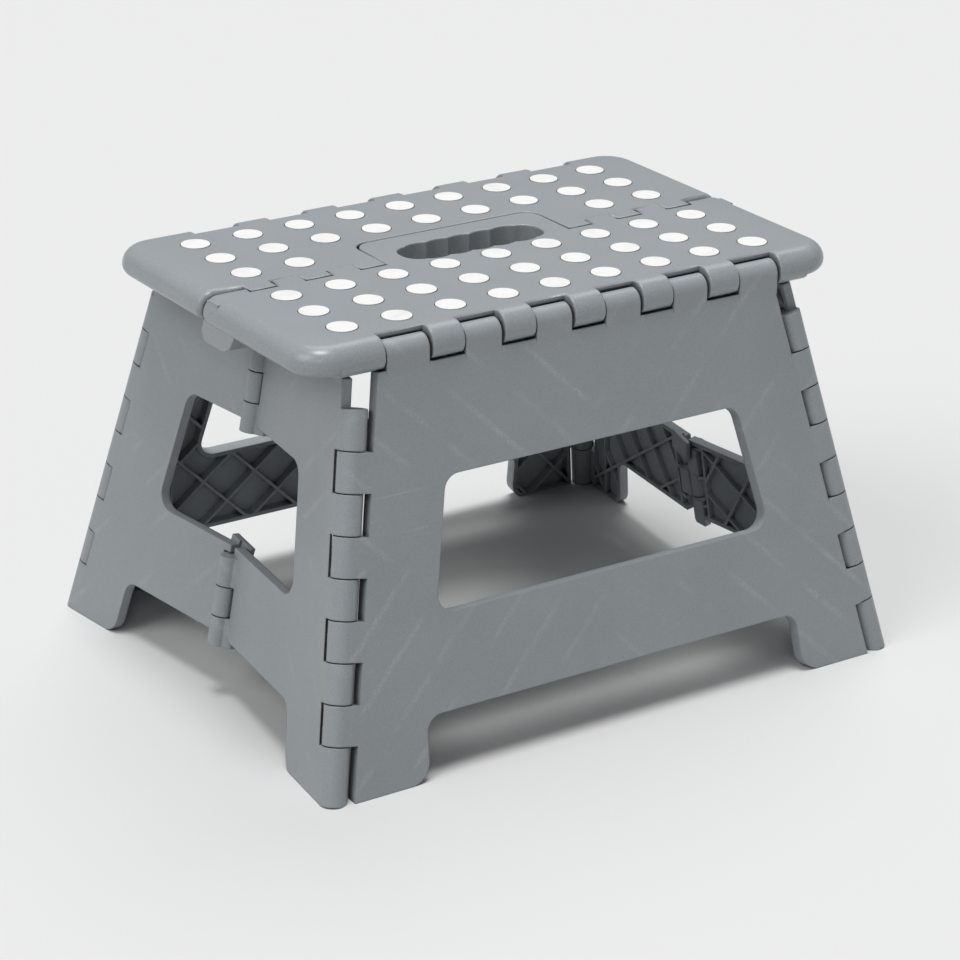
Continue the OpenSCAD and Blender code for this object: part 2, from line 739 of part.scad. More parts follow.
// Front left end panel; own is the list of its middle knuckles, other that of its partner's
module end_shape(own, other, post) {
    outline = end_outline(post);
    difference() {
        union() {
            difference() {
                end_frame() {
                    end_plate(0, panel_skin)
                    polygon(outline);
                    end_plate(panel_skin / 2, end_t) {
                        difference() {
                            polygon(outline);
                            polygon(inset(outline, border_w));
                        }
                        intersection() {
                            polygon(outline);
                            union() {
                                difference() {
                                    lattice(mid_reach, leg_top_z);
                                    polygon(ladder_strip(0, ladder_w));
                                }
                                translate([post / 2, leg_top_z / 2])
                                square([rib_w, leg_top_z], center = true);
                                polygon(ladder_strip(ladder_w - rib_w, ladder_w));
                                ladder_rungs();
                            }
                        }
                    }
                }
                corner_frame()
                for (k = [1 : 2 : 7])
                    corner_cylinder(k, corner_r + 2 * knuckle_gap, 1.25 * knuckle_gap);
                for (k = other)
                    mid_notch(k);
            }
            end_frame()
            for (k = [0 : 2 : 8]) {
                corner_cylinder(k, corner_r, 0);
                end_web(k);
            }
            mid_frame()
            for (k = own) {
                mid_cylinder(k, mid_knuckle_r, 0);
                mid_web(k);
            }
        }
        corner_bore(bore_r, -over, corner_pin_high + pin_end_gap);
        mid_bore(bore_r);
        floor_cut();
    }
}
// Web from a middle knuckle into its own panel, sloping down to the panel's face
module mid_web(k) {
    far = mid_high_notch + border_w;
    deep = end_t + mid_off - corner_r - mid_edge_gap;
    translate([0, 0, (mid_z(k) + knuckle_gap / 2) / cos(mid_tilt)])
    linear_extrude((mid_pitch - knuckle_gap) / cos(mid_tilt))
    polygon([[-mid_knuckle_r / 4, -knuckle_gap], [-mid_knuckle_r / 4, -mid_knuckle_r * 0.9],
             [mid_off - corner_r + mid_edge_gap / 2, -far], [deep, -far], [deep, -knuckle_gap]]);
}
// Rear end panel with the tab that stops behind its partner
module rear_end_shape() {
    end_shape([1, 4], [0, 2, 3, 5], rear_post_w);
    end_frame()
    stop_tab();
}
module stop_tab() {
    s0 = run_at(mid_run, window_low_z - tab_h);
    u0 = mid_u(window_low_z - tab_h / 2);
    inner = corner_r - end_t;
    translate([u0 - tab_reach, inner - tab_gap - tab_t, s0])
    cube([2 * tab_reach, tab_t, tab_h - border_w / 2]);
    translate([u0 - tab_reach, inner - tab_gap - tab_t, s0])
    cube([tab_reach - mid_edge_gap, tab_t + tab_gap + sink, tab_h - border_w / 2]);
}
module front_left_end() {
    color([0.47, 0.5, 0.52])
    end_shape([0, 2, 3, 5], [1, 4], end_post_w);
}
module rear_left_end() {
    color([0.47, 0.5, 0.52])
    mirror([0, 1, 0])
    rear_end_shape();
}
module front_right_end() {
    color([0.47, 0.5, 0.52])
    mirror([1, 0, 0])
    end_shape([0, 2, 3, 5], [1, 4], end_post_w);
}
module rear_right_end() {
    color([0.47, 0.5, 0.52])
    mirror([1, 0, 0])
    mirror([0, 1, 0])
    rear_end_shape();
}

// Hinge pins
module centre_pins() {
    color([0.7, 0.71, 0.72])
    centre_bore(pin_r, 0);
}
module edge_pin() {
    color([0.7, 0.71, 0.72])
    edge_bore(pin_r, pin_end_gap);
}
module front_top_pin() {
    edge_pin();
}
module rear_top_pin() {
    mirror([0, 1, 0])
    edge_pin();
}
module front_corner_pins() {
    color([0.7, 0.71, 0.72])
    for (m = [0, 1])
        mirror([m, 0, 0])
        corner_bore(pin_r, corner_pin_low, corner_pin_high);
}
module rear_corner_pins() {
    mirror([0, 1, 0])
    front_corner_pins();
}
// Short pins of the middle fold line, in the two outer knuckles of each group
module left_fold_pins() {
    color([0.7, 0.71, 0.72])
    mid_frame()
    for (k = [0, 2, 3, 5]) {
        low = mid_z(k) + (k == 0 || k == 3 ? blind_wall + pin_end_gap / 2 : knuckle_gap);
        high = mid_z(k) + mid_pitch - (k == 2 || k == 5 ? blind_wall + pin_end_gap / 2 : knuckle_gap);
        translate([0, 0, low / cos(mid_tilt)])
        cylinder(r = pin_r, h = (high - low) / cos(mid_tilt));
    }
}
module right_fold_pins() {
    mirror([1, 0, 0])
    left_fold_pins();
}
module front_dots_inner() {
    dots(0, all_columns);
}
module front_dots_middle() {
    dots(1, all_columns);
}
module front_dots_outer() {
    dots(2, all_columns);
}
module rear_dots_inner() {
    mirror([0, 1, 0])
    dots(0, end_columns);
}
module rear_dots_middle() {
    mirror([0, 1, 0])
    dots(1, all_columns);
}
module rear_dots_outer() {
    mirror([0, 1, 0])
    dots(2, all_columns);
}

front_top();
rear_top();
front_leg();
rear_leg();
front_left_end();
rear_left_end();
front_right_end();
rear_right_end();
centre_pins();
front_top_pin();
rear_top_pin();
front_corner_pins();
rear_corner_pins();
left_fold_pins();
right_fold_pins();
front_dots_inner();
front_dots_middle();
front_dots_outer();
rear_dots_inner();
rear_dots_middle();
rear_dots_outer();
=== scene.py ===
# %% [markdown]
# # A folding step stool in grey moulded plastic
# The real object is moulded in eight flat shells of grey polypropylene: two halves of the
# top, two legs and four end panels. They hang on steel pins and fold like a flattened
# pyramid. White rubber dots on the top keep a shoe from slipping. The shells, knuckles and
# pins come ready made with the frame, so this lesson is about their finish, their soft
# edges, the light and the camera. Each cell says what a finish is on the real stool, how it
# could be made, and why it is made this way.

# %% Load the stool's hard parts
import math
import bpy
from mathutils import Matrix, Vector

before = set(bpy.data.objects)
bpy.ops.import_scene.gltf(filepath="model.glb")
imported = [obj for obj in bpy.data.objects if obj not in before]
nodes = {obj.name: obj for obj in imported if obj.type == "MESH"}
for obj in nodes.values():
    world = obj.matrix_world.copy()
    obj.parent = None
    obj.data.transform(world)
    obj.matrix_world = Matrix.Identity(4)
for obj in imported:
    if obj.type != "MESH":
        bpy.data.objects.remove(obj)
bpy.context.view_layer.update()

# %% [markdown]
# ## Groups of pieces
# Polypropylene shells, rubber dots and steel pins each get a finish of their own. The shells
# are split once more, because the mould marks run differently on a top half, a leg and an
# end. Picking the pieces by their names keeps the groups right if a count changes.

# %% Sort the pieces by what they are made of
top_halves = ["front_top", "rear_top"]
legs = ["front_leg", "rear_leg"]
end_panels = [n for n in nodes if n.endswith("_end")]
grip_dots = [n for n in nodes if "_dots_" in n]
hinge_pins = [n for n in nodes if n.endswith("_pin") or n.endswith("_pins")]
print("top", top_halves, "legs", legs, "ends", end_panels)
print("dots", len(grip_dots), "pins", len(hinge_pins))

# %% [markdown]
# ## A small set of helpers for node materials
# Every finish here is made from the same few bricks: a noise, a band that picks part of it,
# a mix of two colours, and plain maths on numbers. Helpers for these keep each finish short
# enough to read. The patterns are placed by object coordinates. All shells share one frame
# in metres, so a scale of 1000 makes a pattern about a millimetre wide everywhere.

# %% Helpers that add and join nodes
EDGE_SAMPLES = 6


class Finish:
    """A new material with its shader, and short ways to add nodes to it."""

    def __init__(self, name):
        self.material = bpy.data.materials.new(name)
        self.material.use_nodes = True
        self.tree = self.material.node_tree
        self.shader = self.tree.nodes["Principled BSDF"]
        self.place = self.tree.nodes.new("ShaderNodeTexCoord").outputs["Object"]

    def add(self, kind, **settings):
        node = self.tree.nodes.new(kind)
        for key, value in settings.items():
            setattr(node, key, value)
        return node

    def join(self, a, b):
        self.tree.links.new(a, b)

    def feed(self, socket, value):
        if isinstance(value, bpy.types.NodeSocket):
            self.join(value, socket)
        else:
            socket.default_value = value

    def maths(self, operation, a, b=0.0, c=0.0):
        node = self.add("ShaderNodeMath", operation=operation)
        for socket, value in zip(node.inputs, (a, b, c)):
            self.feed(socket, value)
        return node.outputs[0]

    def noise(self, scale, detail=3.0, rough=0.5, place=None):
        node = self.add("ShaderNodeTexNoise")
        self.join(place or self.place, node.inputs["Vector"])
        node.inputs["Scale"].default_value = scale
        node.inputs["Detail"].default_value = detail
        node.inputs["Roughness"].default_value = rough
        return node.outputs["Fac"]

    def band(self, value, low, high, out_low=0.0, out_high=1.0):
        """Turns low..high into out_low..out_high, soft at both ends and flat beyond."""
        node = self.add("ShaderNodeMapRange", interpolation_type="SMOOTHSTEP")
        self.join(value, node.inputs["Value"])
        node.inputs["From Min"].default_value = low
        node.inputs["From Max"].default_value = high
        node.inputs["To Min"].default_value = out_low
        node.inputs["To Max"].default_value = out_high
        return node.outputs["Result"]

    def mix(self, amount, a, b):
        node = self.add("ShaderNodeMix", data_type="RGBA")
        self.feed(node.inputs[0], amount)
        self.feed(node.inputs[6], a)
        self.feed(node.inputs[7], b)
        return node.outputs[2]

    def axes(self):
        node = self.add("ShaderNodeSeparateXYZ")
        self.join(self.place, node.inputs[0])
        return node.outputs

    def rounded_edges(self, radius):
        """The normal of the face, bent round every edge within the radius."""
        node = self.add("ShaderNodeBevel", samples=EDGE_SAMPLES)
        node.inputs["Radius"].default_value = radius
        return node.outputs["Normal"]

    def openness(self, reach):
        """1 on an open face, falling toward 0 deep in a gap or a tight corner."""
        node = self.add("ShaderNodeAmbientOcclusion", samples=EDGE_SAMPLES)
        node.inputs["Distance"].default_value = reach
        return node.outputs["AO"]

    def bump(self, height, depth, normal=None):
        node = self.add("ShaderNodeBump")
        node.inputs["Strength"].default_value = 1.0
        node.inputs["Distance"].default_value = depth
        self.join(height, node.inputs["Height"])
        if normal is not None:
            self.join(normal, node.inputs["Normal"])
        return node.outputs["Normal"]


def tone(red, green, blue):
    """A colour for a socket, in linear light."""
    return (red, green, blue, 1.0)


print("helpers:", [name for name in vars(Finish) if not name.startswith("_")])

# %% [markdown]
# ## The marks that ribs leave in a moulded face
# On the far side of each shell runs a lattice of slanted ribs. Where a rib meets the face,
# the plastic cools more slowly and sinks a little, so the smooth outer face shows soft pale
# bands every 30 mm that lean away from the middle of the panel. They could be painted as an
# image, but two families of bands made from the coordinates keep their step on any panel.
# A broad noise hides some stretches and a fine one mottles the rest, as worn plastic does.

# %% Build the faint bands of sink marks
# Lengths in metres, the core and edge of a mark as shares of the step between marks.
MARK_STEP = 0.030
MARK_CORE = 0.020
MARK_EDGE = 0.115
RISING_START = 0.015
FALLING_START = 0.020
WANDER_SCALE = 45.0
WANDER = 0.003
TURN_OVER = 0.0002
SHOWN_SCALE = 34.0
MOTTLE_SCALE = 700.0


def slanted_bands(finish, across, along, sign, start):
    """1 in the middle of soft bands at 45 degrees, 0 between them."""
    slant = finish.maths("MULTIPLY_ADD", along, sign, across)
    turn = finish.maths("DIVIDE", finish.maths("SUBTRACT", slant, start), MARK_STEP)
    part = finish.maths("FRACT", finish.maths("ADD", turn, 0.5))
    away = finish.maths("ABSOLUTE", finish.maths("SUBTRACT", part, 0.5))
    return finish.band(away, MARK_CORE, MARK_EDGE, 1.0, 0.0)


def sink_marks(finish, across, along, middle):
    """Bands that run away from the middle of the panel, mottled and broken up."""
    wander = finish.maths("MULTIPLY_ADD", finish.noise(WANDER_SCALE, 2.0), WANDER, -WANDER / 2)
    across = finish.maths("ADD", across, wander)
    rising = slanted_bands(finish, across, along, -1.0, RISING_START)
    falling = slanted_bands(finish, across, along, 1.0, FALLING_START)
    side = finish.maths("MULTIPLY", across, finish.maths("SUBTRACT", along, middle))
    outward = finish.band(side, -TURN_OVER, TURN_OVER)
    inward = finish.maths("SUBTRACT", 1.0, outward)
    rising = finish.maths("MULTIPLY", rising, outward)
    falling = finish.maths("MULTIPLY", falling, inward)
    shown = finish.band(finish.noise(SHOWN_SCALE, 3.0), 0.42, 0.66)
    mottled = finish.band(finish.noise(MOTTLE_SCALE, 3.0, 0.7), 0.36, 0.64, 0.1, 1.0)
    bands = finish.maths("MAXIMUM", rising, falling)
    return finish.maths("MULTIPLY", finish.maths("MULTIPLY", bands, shown), mottled)


print("sink marks every", round(MARK_STEP * 1000, 1), "mm along the panel")

# %% [markdown]
# ## Grey polypropylene
# The plastic is a cool mid grey with a satin skin. Up close it has a fine spark grain from
# the mould, clouds of slightly paler and darker tone, short hairline scuffs from handling
# and a few dust-fine pale specks. The narrow gaps between knuckles and the tight corners are
# painted nearly black, a painted shade that stands in for the shadow deep inside them. A flat
# grey would look like card, so the colour is built from these layers, the widest first.

# %% Mix the colour of the plastic
GREY = (0.252, 0.276, 0.291)
GREY_PALE = (0.372, 0.397, 0.412)
GREY_DEEP = (0.238, 0.261, 0.276)
# painted shade: the near black put into gaps and tight corners in place of their shadow
GREY_OF_PAINTED_GAP_SHADE = (0.030, 0.033, 0.036)
CLOUD_SCALE = 22.0
GRAIN_SCALE = 1500.0
GRAIN_SHARE = 0.30
SPECK_SCALE = 900.0
SPECK_SHARE = 0.5
PATCH_SCALE = 14.0
# how far and how strongly the painted shade in gaps and tight corners reaches
GAP_REACH = 0.004
GAP_SHUT = 0.22
GAP_OPEN = 0.58
GAP_SHADE = 0.90


def hairlines(finish, scale, stretch, turn):
    """Thin scratches: a noise stretched along one direction, cut to its crests."""
    mapping = finish.add("ShaderNodeMapping")
    finish.join(finish.place, mapping.inputs["Vector"])
    mapping.inputs["Rotation"].default_value = turn
    mapping.inputs["Scale"].default_value = (stretch, 1.0, 1.0)
    fine = finish.noise(scale, 2.0, 0.6, mapping.outputs["Vector"])
    return finish.band(fine, 0.70, 0.76)


def scuffed(finish):
    """Hairlines in two directions, kept to a few patches."""
    lines = finish.maths("MAXIMUM",
                         hairlines(finish, 420.0, 0.05, (0.3, 0.5, 0.7)),
                         hairlines(finish, 380.0, 0.06, (0.9, -0.4, -0.6)))
    patches = finish.band(finish.noise(PATCH_SCALE, 2.0), 0.50, 0.66)
    return finish.maths("MULTIPLY", lines, patches)


def plastic_paleness(finish, lines, mark_share, scuff_share):
    """How pale each point is: the strongest of its marks, scuffs and specks."""
    specks = finish.band(finish.noise(SPECK_SCALE, 1.0), 0.74, 0.80)
    marked = finish.maths("MULTIPLY", lines, mark_share)
    scuffs = finish.maths("MULTIPLY", scuffed(finish), scuff_share)
    specks = finish.maths("MULTIPLY", specks, SPECK_SHARE)
    return finish.maths("MAXIMUM", finish.maths("MAXIMUM", marked, scuffs), specks)


def plastic_colour(finish, pale, grain):
    clouds = finish.band(finish.noise(CLOUD_SCALE, 4.0, 0.55), 0.30, 0.72)
    colour = finish.mix(clouds, tone(*GREY_DEEP), tone(*GREY))
    colour = finish.mix(pale, colour, tone(*GREY_PALE))
    grains = finish.band(grain, 0.25, 0.75, 0.0, GRAIN_SHARE)
    colour = finish.mix(grains, colour, tone(*GREY_PALE))
    # Painted shade: where the occlusion finds a gap or tight corner, the colour goes nearly
    # black in place of the shadow there.
    painted_gap_shade = finish.band(finish.openness(GAP_REACH), GAP_SHUT, GAP_OPEN, GAP_SHADE, 0.0)
    return finish.mix(painted_gap_shade, colour, tone(*GREY_OF_PAINTED_GAP_SHADE))


print("grey", GREY, "pale", GREY_PALE, "in gaps", GREY_OF_PAINTED_GAP_SHADE)

# %% [markdown]
# ## One batch for three kinds of shell
# The top halves, the legs and the end panels come from one batch of plastic and differ only
# in their marks and their gloss. The top is the smoothest, and the slanted marks on a leg
# and on an end are measured along their own slope. One function makes all three, so they
# can't drift apart. It also rounds the shading within a millimetre of every edge, because
# the mould leaves no sharp one.

# %% Make the plastic of the legs, the ends and the top
LEG_LEAN = math.radians(12.13)
LEG_MIDDLE = 0.115
END_MIDDLE = 0.110
EDGE_RADIUS = 0.0010
SKIN_DEPTH = 0.00006
GRAIN_HEIGHT = 0.35
GLOSS_SCALE = 60.0
GLOSS_SPREAD = 0.02
PALE_IS_ROUGHER = 0.06
PLASTIC_IOR = 1.49


def grey_plastic(name, marks, mark_share, scuff_share, roughness):
    finish = Finish(name)
    grain = finish.noise(GRAIN_SCALE, 2.0, 0.5)
    lines = marks(finish, finish.axes())
    pale = plastic_paleness(finish, lines, mark_share, scuff_share)
    finish.join(plastic_colour(finish, pale, grain), finish.shader.inputs["Base Color"])
    gloss = finish.band(finish.noise(GLOSS_SCALE, 3.0), 0.3, 0.7,
                        roughness - GLOSS_SPREAD, roughness + GLOSS_SPREAD)
    gloss = finish.maths("MULTIPLY_ADD", pale, PALE_IS_ROUGHER, gloss)
    finish.join(gloss, finish.shader.inputs["Roughness"])
    height = finish.maths("MULTIPLY", grain, GRAIN_HEIGHT)
    height = finish.maths("MULTIPLY_ADD", lines, -mark_share, height)
    soft = finish.rounded_edges(EDGE_RADIUS)
    finish.join(finish.bump(height, SKIN_DEPTH, soft), finish.shader.inputs["Normal"])
    finish.shader.inputs["IOR"].default_value = PLASTIC_IOR
    return finish.material


def leg_marks(finish, at):
    up_slope = finish.maths("DIVIDE", at["Z"], math.cos(LEG_LEAN))
    return sink_marks(finish, at["X"], up_slope, LEG_MIDDLE)


def end_marks(finish, at):
    return sink_marks(finish, at["Y"], at["Z"], END_MIDDLE)


def top_marks(finish, at):
    """The top has no slanted ribs: its skin only shows an even spark grain."""
    return finish.band(finish.noise(750.0, 2.0, 0.6), 0.36, 0.70)


leg_plastic = grey_plastic("leg_grey_plastic", leg_marks, 0.55, 0.45, 0.42)
end_plastic = grey_plastic("end_grey_plastic", end_marks, 0.40, 0.45, 0.44)
top_plastic = grey_plastic("top_grey_plastic", top_marks, 0.14, 0.06, 0.30)
print("plastics:", leg_plastic.name, end_plastic.name, top_plastic.name)

# %% [markdown]
# ## White grip rubber
# The dots are soft white rubber, a little warm, with a dry face that has gone faintly grey
# in small patches. A smooth flat white would look like paper, so the shader stays rough and
# gets a fine pebble in its bump.

# %% Make the rubber of the dots
RUBBER_CLEAN = (0.74, 0.74, 0.73)
RUBBER_SOILED = (0.66, 0.66, 0.65)
PEBBLE_DEPTH = 0.00004


def grip_rubber():
    finish = Finish("white_grip_rubber")
    soil = finish.band(finish.noise(70.0, 4.0, 0.6), 0.42, 0.80)
    colour = finish.mix(soil, tone(*RUBBER_CLEAN), tone(*RUBBER_SOILED))
    finish.join(colour, finish.shader.inputs["Base Color"])
    gloss = finish.band(finish.noise(240.0), 0.3, 0.7, 0.56, 0.68)
    finish.join(gloss, finish.shader.inputs["Roughness"])
    pebble = finish.noise(2200.0, 2.0)
    finish.join(finish.bump(pebble, PEBBLE_DEPTH), finish.shader.inputs["Normal"])
    return finish.material


dot_rubber = grip_rubber()
print("rubber:", dot_rubber.name)

# %% [markdown]
# ## Drawn steel wire
# The pins are plain drawn wire. Little of them shows, only in the gaps between knuckles, so
# a metal shader with a dull, slightly patchy skin is enough.

# %% Make the steel of the pins
STEEL_DARK = (0.50, 0.50, 0.51)
STEEL_BRIGHT = (0.62, 0.62, 0.62)
WIRE_DEPTH = 0.00002


def drawn_steel():
    finish = Finish("drawn_steel_wire")
    finish.shader.inputs["Metallic"].default_value = 1.0
    skin = finish.band(finish.noise(160.0), 0.3, 0.7)
    colour = finish.mix(skin, tone(*STEEL_DARK), tone(*STEEL_BRIGHT))
    finish.join(colour, finish.shader.inputs["Base Color"])
    gloss = finish.band(finish.noise(600.0), 0.3, 0.7, 0.28, 0.42)
    finish.join(gloss, finish.shader.inputs["Roughness"])
    fine = finish.noise(1800.0)
    finish.join(finish.bump(fine, WIRE_DEPTH), finish.shader.inputs["Normal"])
    return finish.material


pin_steel = drawn_steel()
print("steel:", pin_steel.name)

# %% [markdown]
# ## Dress the pieces
# Each hard piece keeps its mesh and place, and only its material slots are filled. Filling
# every slot, and not only the first, keeps a piece from showing a bare face.

# %% Give every piece its finish
def dress(names, material):
    for name in names:
        for slot in nodes[name].material_slots:
            slot.link = "OBJECT"
            slot.material = material


dress(top_halves, top_plastic)
dress(legs, leg_plastic)
dress(end_panels, end_plastic)
dress(grip_dots, dot_rubber)
dress(hinge_pins, pin_steel)
print("dressed", len(nodes), "pieces")

# %% [markdown]
# ## Smooth round faces
# The hard parts come with split corners, so every facet of a knuckle would show. A small
# node group first joins the corners and then shades all but the sharp edges smooth. It is a
# modifier, so the parts below it stay as they were made.

# %% Join the corners and smooth the shells
EDGE_TURN = math.radians(28)
WELD = 0.000004


def new_group(name):
    """An empty group of geometry nodes with one mesh in and one out."""
    group = bpy.data.node_groups.new(name, "GeometryNodeTree")
    for way in ("INPUT", "OUTPUT"):
        group.interface.new_socket("Geometry", in_out=way, socket_type="NodeSocketGeometry")
    return group


def join_and_smooth():
    """Joins split corners, clears old normals, and shades all but the sharp edges smooth."""
    group = new_group("join_and_smooth")
    add, join = group.nodes.new, group.links.new
    start, end = add("NodeGroupInput"), add("NodeGroupOutput")
    clear = add("GeometryNodeRemoveAttribute")
    clear.inputs["Name"].default_value = "custom_normal"
    weld = add("GeometryNodeMergeByDistance")
    weld.inputs["Distance"].default_value = WELD
    angle = add("GeometryNodeInputMeshEdgeAngle")
    gentle = add("FunctionNodeCompare")
    gentle.operation = "LESS_THAN"
    gentle.inputs["B"].default_value = EDGE_TURN
    faces = add("GeometryNodeSetShadeSmooth")
    edges = add("GeometryNodeSetShadeSmooth")
    edges.domain = "EDGE"
    join(start.outputs[0], clear.inputs["Geometry"])
    join(clear.outputs[0], weld.inputs["Geometry"])
    join(weld.outputs[0], faces.inputs["Geometry"])
    join(faces.outputs[0], edges.inputs["Geometry"])
    join(angle.outputs["Unsigned Angle"], gentle.inputs["A"])
    join(gentle.outputs[0], edges.inputs["Shade Smooth"])
    join(edges.outputs[0], end.inputs[0])
    return group


smoothing = join_and_smooth()
for name in legs + end_panels + top_halves:
    joined = nodes[name].modifiers.new("join_and_smooth", "NODES")
    joined.node_group = smoothing
print("smoothed", len(legs + end_panels + top_halves), "shells")

# %% [markdown]
# ## Which edges are rounded
# On the legs and end panels the ribs stand too close for a bevel in the mesh, so their
# finish alone rounds the shading. The two top halves get real rounding, wide on the noses
# that meet at the ends of the seam and narrow on the flat top and down the rim. A bevel
# takes its width from a share stored on each edge, and a second node group stores it by
# where the edge lies. It leaves out the recesses of the dots, whose rounding would fold
# small faces over, and a small ring round the outer pins.

# %% Choose the edges of the top halves
# All in metres: heights, distances from the seam and from the middle of the stool.
STANDING = 0.2199
RIM_LOW = 0.2052
ROWS_FROM = 0.0115
ROWS_TO = 0.085
COLUMNS_TO = 0.135
TONGUE_OUT = 0.060
TONGUE_MIDDLE = 0.017
PIN_Y = 0.0945
PIN_Z = 0.2105
PIN_CLEAR = 0.0035
POCKET_FROM = 0.0885
POCKETS_TO = 0.130
NOSE_FROM = 0.1365
SEAM_FRONT = 0.0039
SEAM_NEAR = 0.0006


def edge_share(name, choose):
    """Stores on each sharp outer edge what choose gives for both of its ends."""
    group = new_group(name)
    add, join = group.nodes.new, group.links.new

    def maths(kind, a, b=0.0):
        node = add("ShaderNodeMath")
        node.operation = kind
        for socket, value in zip(node.inputs, (a, b)):
            if isinstance(value, bpy.types.NodeSocket):
                join(value, socket)
            else:
                socket.default_value = value
        return node.outputs[0]

    start, end = add("NodeGroupInput"), add("NodeGroupOutput")
    ends = add("GeometryNodeInputMeshEdgeVertices")
    angle = add("GeometryNodeInputMeshEdgeAngle").outputs["Signed Angle"]
    share = maths("GREATER_THAN", angle, EDGE_TURN)
    for place in ("Position 1", "Position 2"):
        parts = add("ShaderNodeSeparateXYZ")
        join(ends.outputs[place], parts.inputs[0])
        share = maths("MULTIPLY", share, choose(maths, parts.outputs))
    store = add("GeometryNodeStoreNamedAttribute")
    store.data_type, store.domain = "FLOAT", "EDGE"
    store.inputs["Name"].default_value = "bevel_weight_edge"
    join(start.outputs[0], store.inputs["Geometry"])
    join(share, store.inputs["Value"])
    join(store.outputs[0], end.inputs[0])
    return group


def on_nose(maths, at):
    """The edges that face the other half in the two end bands of the seam."""
    far_out = maths("GREATER_THAN", maths("ABSOLUTE", at["X"]), NOSE_FROM)
    from_seam = maths("ABSOLUTE", maths("SUBTRACT", at["Y"], SEAM_FRONT))
    facing = maths("LESS_THAN", from_seam, SEAM_NEAR)
    high = maths("GREATER_THAN", at["Z"], RIM_LOW)
    return maths("MULTIPLY", maths("MULTIPLY", far_out, facing), high)


def off_dots(maths, at):
    """The strips of the standing surface that hold no dots: rim, ends, seam and tongue."""
    side, out = maths("ABSOLUTE", at["Y"]), maths("ABSOLUTE", at["X"])
    rim = maths("GREATER_THAN", side, ROWS_TO)
    seam = maths("LESS_THAN", side, ROWS_FROM)
    end = maths("GREATER_THAN", out, COLUMNS_TO)
    behind = maths("ABSOLUTE", maths("SUBTRACT", at["Y"], TONGUE_MIDDLE))
    tongue = maths("MULTIPLY", maths("LESS_THAN", out, TONGUE_OUT),
                   maths("LESS_THAN", behind, TONGUE_MIDDLE))
    return maths("MAXIMUM", maths("MAXIMUM", rim, seam), maths("MAXIMUM", end, tongue))


def on_top(maths, at):
    """The edges of the standing surface, without the dots' recesses, and of the rim."""
    flat = maths("MULTIPLY", maths("GREATER_THAN", at["Z"], STANDING), off_dots(maths, at))
    outer = maths("GREATER_THAN", maths("ABSOLUTE", at["Y"]), POCKET_FROM)
    above = maths("GREATER_THAN", at["Z"], RIM_LOW)
    off_y = maths("SUBTRACT", maths("ABSOLUTE", at["Y"]), PIN_Y)
    off_z = maths("SUBTRACT", at["Z"], PIN_Z)
    apart = maths("ADD", maths("MULTIPLY", off_y, off_y), maths("MULTIPLY", off_z, off_z))
    clear = maths("GREATER_THAN", apart, PIN_CLEAR * PIN_CLEAR)
    inner = maths("LESS_THAN", maths("ABSOLUTE", at["X"]), POCKETS_TO)
    rim = maths("MULTIPLY", maths("MULTIPLY", outer, above), maths("MULTIPLY", clear, inner))
    return maths("MAXIMUM", flat, rim)


nose_share = edge_share("nose_share", on_nose)
top_share = edge_share("top_share", on_top)
print("edges chosen by", nose_share.name, "and", top_share.name)

# %% [markdown]
# ## Round the top halves
# Flat faces cut into triangles would break a bevel up, so they are joined first. The front
# half has the fuller nose at each end of the seam, and the rear half a smaller one that
# meets it. The last bevel takes the sharpness off the top and the rim.

# %% Round the edges of the top halves
FLAT_TURN = math.radians(0.5)
FRONT_NOSE = 0.0060
REAR_NOSE = 0.0030
TOP_EDGE = 0.0009


def join_flat(name):
    flat = nodes[name].modifiers.new("join_flat_faces", "DECIMATE")
    flat.decimate_type = "DISSOLVE"
    flat.angle_limit = FLAT_TURN


def soften(name, group, width, segments):
    """Rounds the edges that the group chooses."""
    piece = nodes[name]
    shares = piece.modifiers.new(group.name, "NODES")
    shares.node_group = group
    edge = piece.modifiers.new("soft_edge", "BEVEL")
    edge.width = width
    edge.segments = segments
    edge.limit_method = "WEIGHT"
    edge.use_clamp_overlap = False
    edge.harden_normals = True


for name in top_halves:
    join_flat(name)
soften("front_top", nose_share, FRONT_NOSE, 6)
soften("rear_top", nose_share, REAR_NOSE, 4)
for name in top_halves:
    soften(name, top_share, TOP_EDGE, 2)
depsgraph = bpy.context.evaluated_depsgraph_get()
for name in top_halves:
    made = nodes[name].evaluated_get(depsgraph).to_mesh()
    print(name, "faces", len(nodes[name].data.polygons), "->", len(made.polygons))

# %% [markdown]
# ## A pale floor
# The stool stands on a plain pale sweep that fills the whole view, because the camera looks
# down at it through a long lens. A broad matte plane is enough. Its colour is set so that
# the lit floor reads as the pale grey round the stool, and it keeps the soft shadow that
# shows where the feet stand.

# %% Lay the floor
FLOOR_HALF = 6.0
FLOOR_GREY = 0.640


def pale_floor():
    mesh = bpy.data.meshes.new("floor")
    corners = [(-FLOOR_HALF, -FLOOR_HALF, 0), (FLOOR_HALF, -FLOOR_HALF, 0),
               (FLOOR_HALF, FLOOR_HALF, 0), (-FLOOR_HALF, FLOOR_HALF, 0)]
    mesh.from_pydata(corners, [], [(0, 1, 2, 3)])
    floor = bpy.data.objects.new("floor", mesh)
    bpy.context.scene.collection.objects.link(floor)
    finish = Finish("pale_floor")
    finish.shader.inputs["Base Color"].default_value = tone(FLOOR_GREY, FLOOR_GREY, FLOOR_GREY)
    finish.shader.inputs["Roughness"].default_value = 0.9
    finish.shader.inputs["Specular IOR Level"].default_value = 0.1
    mesh.materials.append(finish.material)
    return floor


floor = pale_floor()
print(floor.name, "side", 2 * FLOOR_HALF, "m")

